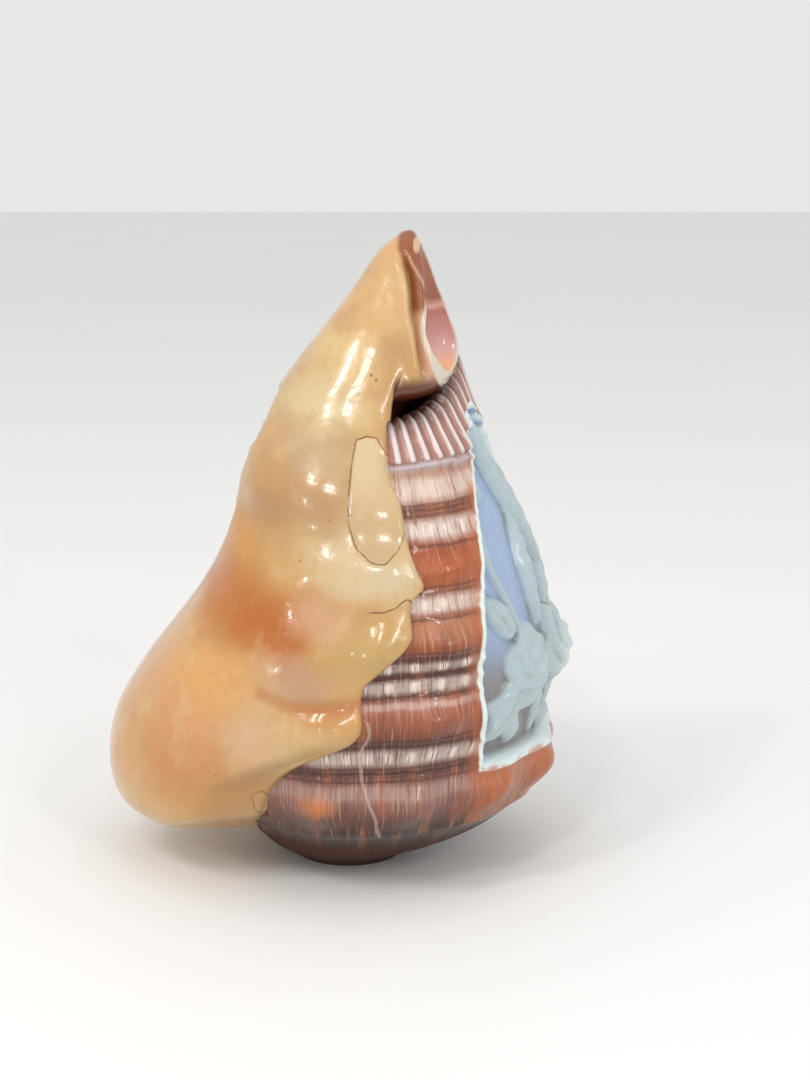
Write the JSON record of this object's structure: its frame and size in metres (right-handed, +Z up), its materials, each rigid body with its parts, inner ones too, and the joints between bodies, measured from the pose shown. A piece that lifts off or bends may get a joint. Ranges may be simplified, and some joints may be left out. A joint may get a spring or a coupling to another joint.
{
  "type": "carved sea snail shell",
  "caption": "Large helmet-type sea snail shell that stands on its spire, glossy callus and toothed mouth at the front, with a flower spray carved in relief on its back.",
  "frame": {"origin": "on the surface that the shell stands on, under the middle of its outline", "axes": "+Z up along the coiling axis towards the canal tip; -X towards the toothed mouth; +X towards the carved back; -Y towards the side with the spread callus"},
  "size_m": [0.1098, 0.102, 0.148],
  "materials": {
    "shell": "glossy natural shell: cream to orange callus, red-brown banded whorl, pale blue-white carving"
  },
  "bodies": {
    "root": {"carved_shell": "shell"}
  },
  "joints": []
}
